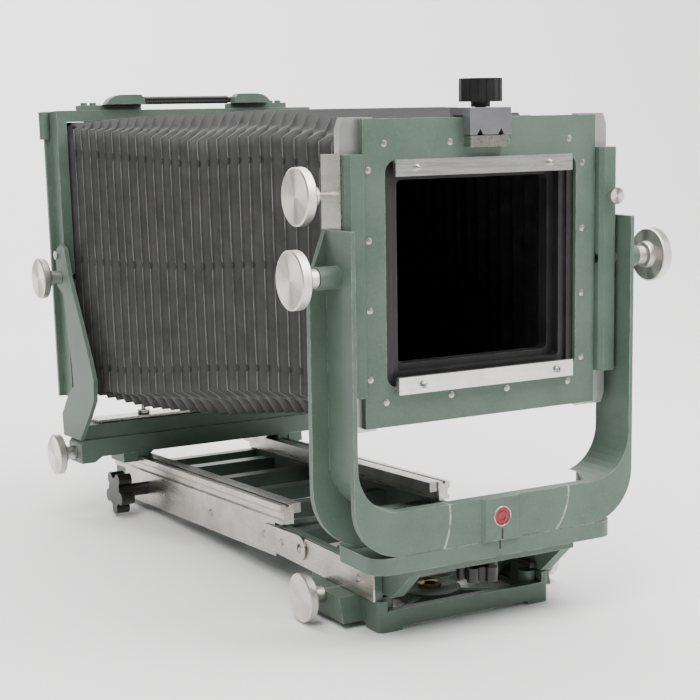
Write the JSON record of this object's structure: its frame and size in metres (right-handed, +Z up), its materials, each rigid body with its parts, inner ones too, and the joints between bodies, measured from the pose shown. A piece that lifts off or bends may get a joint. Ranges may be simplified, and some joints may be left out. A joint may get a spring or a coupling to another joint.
{
  "type": "view camera",
  "caption": "Flat-bed metal view camera for large sheet film: pleated bellows, geared front and rear standards, tilting lens panel, folding bed and ground-glass back.",
  "frame": {"origin": "centre of the bounding box at the plane of the tripod block's feet", "axes": "+X to the right seen from the front, +Y from the lens panel to the back, +Z up"},
  "size_m": [0.3242, 0.5754, 0.403],
  "materials": {
    "green_enamel": "satin grey-green enamel",
    "nickel": "dull nickel plate",
    "aluminium": "turned bare aluminium",
    "black_plastic": "moulded black",
    "black_paint": "flat black",
    "steel": "plain steel",
    "brass": "plain brass",
    "leather": "black pleated bellows leather",
    "glass": "ground on its inner face",
    "red_enamel": "red enamel",
    "grey_plate": "grey anodised"
  },
  "bodies": {
    "base": {"tripod_block": "green_enamel", "tripod_bush": "brass", "front_side_beams": "green_enamel", "front_side_strips": "nickel", "front_cross_bars": "green_enamel", "front_bed_screws": "steel"},
    "front_focus_knob": {"front_focus_knobs": "aluminium", "front_focus_shaft": "steel"},
    "front_carriage": {"front_carriage": "green_enamel", "front_shoes": "black_plastic", "swing_slab": "green_enamel"},
    "swing_lock": {"swing_star_knob": "black_plastic"},
    "yoke": {"yoke": "green_enamel", "yoke_badge": "red_enamel"},
    "channels": {"channels": "green_enamel", "channel_side_plates": "nickel"},
    "tilt_lock_left": {"tilt_knob_left": "aluminium"},
    "tilt_lock_right": {"tilt_knob_right": "aluminium"},
    "rise_lock_left": {"rise_knob": "aluminium"},
    "rise_lock_right": {"rise_lock_knob": "aluminium"},
    "lens_frame": {"lens_panel": "green_enamel", "lens_rails": "aluminium", "lens_seat": "black_paint", "bellows_front_frame": "black_paint", "panel_screws": "steel", "retainer_bar_bottom": "nickel", "accessory_clamp": "grey_plate", "accessory_plate": "nickel"},
    "top_bar": {"retainer_bar_top": "nickel", "top_bar_screws": "steel"},
    "clamp_knob": {"accessory_clamp_knob": "black_plastic"},
    "rear_bed": {"rear_side_beams": "green_enamel", "rear_side_strips": "nickel", "rear_tracks": "nickel", "rear_racks": "steel", "rear_cross_bars": "green_enamel", "fold_plates": "nickel", "rear_bed_screws": "steel"},
    "bed_lock": {"bed_star_knob": "black_plastic"},
    "rear_carriage": {"rear_carriage": "green_enamel", "rear_shoes": "green_enamel", "rear_swing_pin": "steel"},
    "rear_focus_knob": {"rear_focus_knobs": "aluminium", "rear_focus_shaft": "steel"},
    "rear_swing": {"rear_swing_slab": "green_enamel", "rear_top_plate": "nickel", "rear_lock_nuts": "steel", "rear_uprights": "green_enamel", "upright_screws": "steel"},
    "rear_lock_left": {"rear_tilt_knob_left": "aluminium"},
    "rear_lock_right": {"rear_tilt_knob_right": "aluminium"},
    "rear_frame": {"rear_frame": "green_enamel", "handle_brackets": "green_enamel", "handle_bar": "black_paint", "bellows": "leather"},
    "back": {"ground_glass_frame": "green_enamel", "ground_glass": "glass", "back_springs": "nickel", "back_catches": "steel"}
  },
  "joints": [
    {"name": "front_focus", "type": "slide", "parent": "base", "child": "front_carriage", "axis": [0, 1, 0], "range_m": [-0.03, 0.06], "deforming": ["bellows"]},
    {"name": "front_focus_turn", "type": "hinge", "parent": "base", "child": "front_focus_knob", "pos_m": [0, -0.1861, 0.02], "axis": [1, 0, 0], "range_deg": [-365, 185]},
    {"name": "swing_lock_turn", "type": "hinge", "parent": "front_carriage", "child": "swing_lock", "pos_m": [0, -0.2561, 0.045], "axis": [0, 0, 1], "range_deg": [-180, 180]},
    {"name": "front_swing", "type": "hinge", "parent": "front_carriage", "child": "yoke", "pos_m": [0, -0.2561, 0.071], "axis": [0, 0, 1], "range_deg": [-15, 15], "deforming": ["bellows"]},
    {"name": "front_tilt", "type": "hinge", "parent": "yoke", "child": "channels", "pos_m": [0, -0.2641, 0.269], "axis": [1, 0, 0], "range_deg": [-20, 20], "deforming": ["bellows"]},
    {"name": "tilt_lock_left_turn", "type": "hinge", "parent": "channels", "child": "tilt_lock_left", "pos_m": [-0.14, -0.2641, 0.269], "axis": [1, 0, 0], "range_deg": [-180, 180]},
    {"name": "tilt_lock_right_turn", "type": "hinge", "parent": "channels", "child": "tilt_lock_right", "pos_m": [0.14, -0.2641, 0.269], "axis": [1, 0, 0], "range_deg": [-180, 180]},
    {"name": "rise_lock_left_turn", "type": "hinge", "parent": "channels", "child": "rise_lock_left", "pos_m": [-0.13, -0.2473, 0.324], "axis": [1, 0, 0], "range_deg": [-180, 180]},
    {"name": "rise_lock_right_turn", "type": "hinge", "parent": "channels", "child": "rise_lock_right", "pos_m": [0.1088, -0.2741, 0.316], "axis": [0, 1, 0], "range_deg": [-180, 180]},
    {"name": "rise", "type": "slide", "parent": "channels", "child": "lens_frame", "axis": [0, 0, 1], "range_m": [-0.03, 0.03], "deforming": ["bellows"]},
    {"name": "top_bar_slide", "type": "slide", "parent": "lens_frame", "child": "top_bar", "axis": [0, 0, 1], "range_m": [0, 0.006]},
    {"name": "clamp_knob_turn", "type": "hinge", "parent": "lens_frame", "child": "clamp_knob", "pos_m": [0, -0.2601, 0.395], "axis": [0, 0, 1], "range_deg": [-180, 180]},
    {"name": "bed_fold", "type": "hinge", "parent": "base", "child": "rear_bed", "pos_m": [0, -0.1241, 0.039], "axis": [1, 0, 0], "range_deg": [0, 2.84], "deforming": ["bellows"]},
    {"name": "bed_lock_turn", "type": "hinge", "parent": "rear_bed", "child": "bed_lock", "pos_m": [-0.09, 0.19353, 0.02374], "axis": [1, 0, 0], "range_deg": [-180, 180]},
    {"name": "rear_focus", "type": "slide", "parent": "rear_bed", "child": "rear_carriage", "axis": [0, 0.9988, -0.0495], "range_m": [-0.25, 0.025], "deforming": ["bellows"]},
    {"name": "rear_focus_turn", "type": "hinge", "parent": "rear_carriage", "child": "rear_focus_knob", "pos_m": [0, 0.22438, 0.06031], "axis": [1, 0, 0], "range_deg": [-160, 1515]},
    {"name": "rear_swing", "type": "hinge", "parent": "rear_carriage", "child": "rear_swing", "pos_m": [0, 0.22624, 0.07769], "axis": [0, 0.0495, 0.9988], "range_deg": [-10, 10], "deforming": ["bellows"]},
    {"name": "rear_tilt", "type": "hinge", "parent": "rear_swing", "child": "rear_frame", "pos_m": [0, 0.24466, 0.22696], "axis": [1, 0, 0], "range_deg": [-8, 10], "deforming": ["bellows"]},
    {"name": "rear_lock_left_turn", "type": "hinge", "parent": "rear_swing", "child": "rear_lock_left", "pos_m": [-0.15, 0.24466, 0.22696], "axis": [1, 0, 0], "range_deg": [-180, 180]},
    {"name": "rear_lock_right_turn", "type": "hinge", "parent": "rear_swing", "child": "rear_lock_right", "pos_m": [0.15, 0.24466, 0.22696], "axis": [1, 0, 0], "range_deg": [-180, 180]},
    {"name": "back_slide", "type": "slide", "parent": "rear_frame", "child": "back", "axis": [0, 0.9988, -0.0495], "range_m": [0, 0.012], "stiffness_N_per_m": 1500}
  ],
  "couplings": [
    {"joint": "front_focus_turn", "follows": "front_focus", "rad_per_m": -105.26},
    {"joint": "rear_focus_turn", "follows": "rear_focus", "rad_per_m": -105.26}
  ]
}
